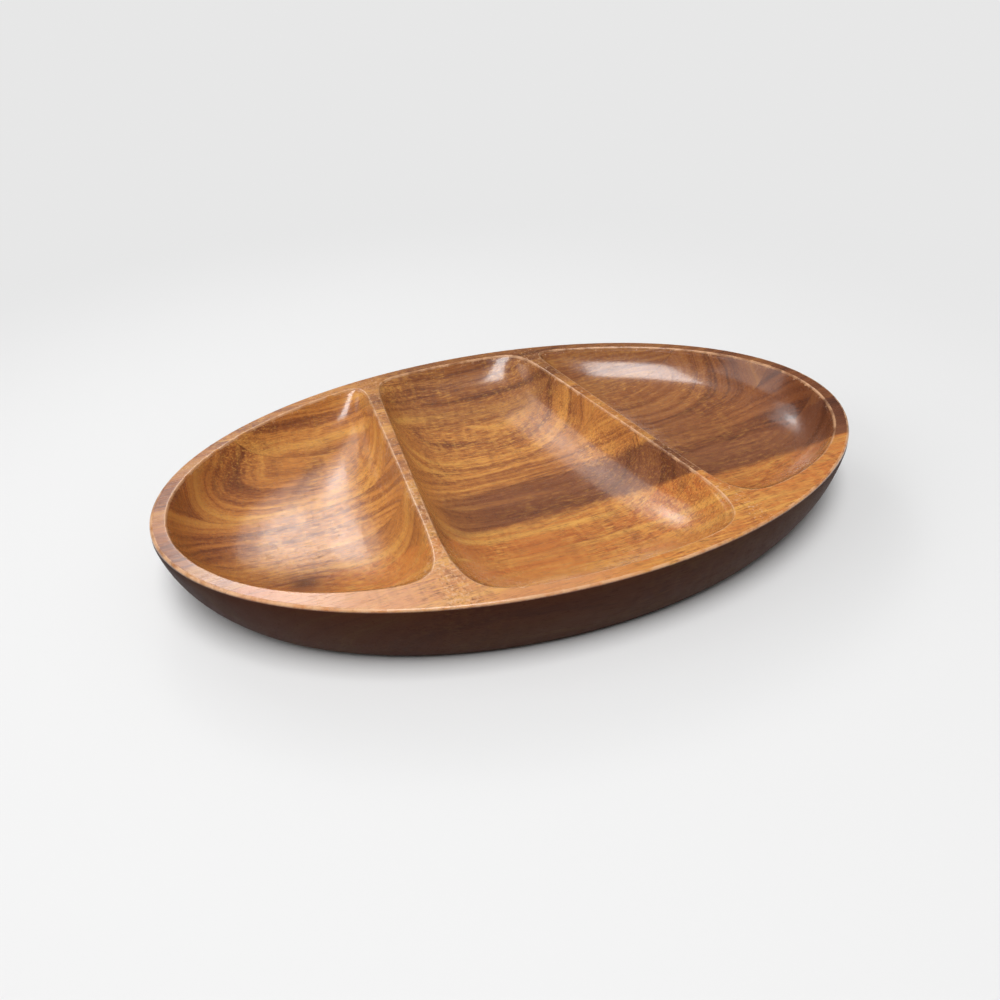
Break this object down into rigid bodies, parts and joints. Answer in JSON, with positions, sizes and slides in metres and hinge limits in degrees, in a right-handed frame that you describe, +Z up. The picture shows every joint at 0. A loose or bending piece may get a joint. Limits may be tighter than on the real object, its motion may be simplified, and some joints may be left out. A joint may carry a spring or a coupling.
{
  "type": "divided serving bowl",
  "caption": "Oval carved wooden serving bowl with a flat rim and dividers that make a middle and two end compartments, built from edge-glued boards",
  "frame": {"origin": "centre of the flat base, on the surface the bowl stands on", "axes": "+X along the bowl's length, +Y away from its front, toward the end where the dividers come closer together, +Z up"},
  "size_m": [0.38, 0.248, 0.04],
  "materials": {
    "front_edge_board_wood": "gloss",
    "front_board_wood": "gloss",
    "centre_board_wood": "gloss",
    "back_board_wood": "gloss",
    "back_edge_board_wood": "gloss"
  },
  "bodies": {
    "root": {"front_edge_board": "front_edge_board_wood", "front_board": "front_board_wood", "centre_board": "centre_board_wood", "back_board": "back_board_wood", "back_edge_board": "back_edge_board_wood"}
  },
  "joints": []
}
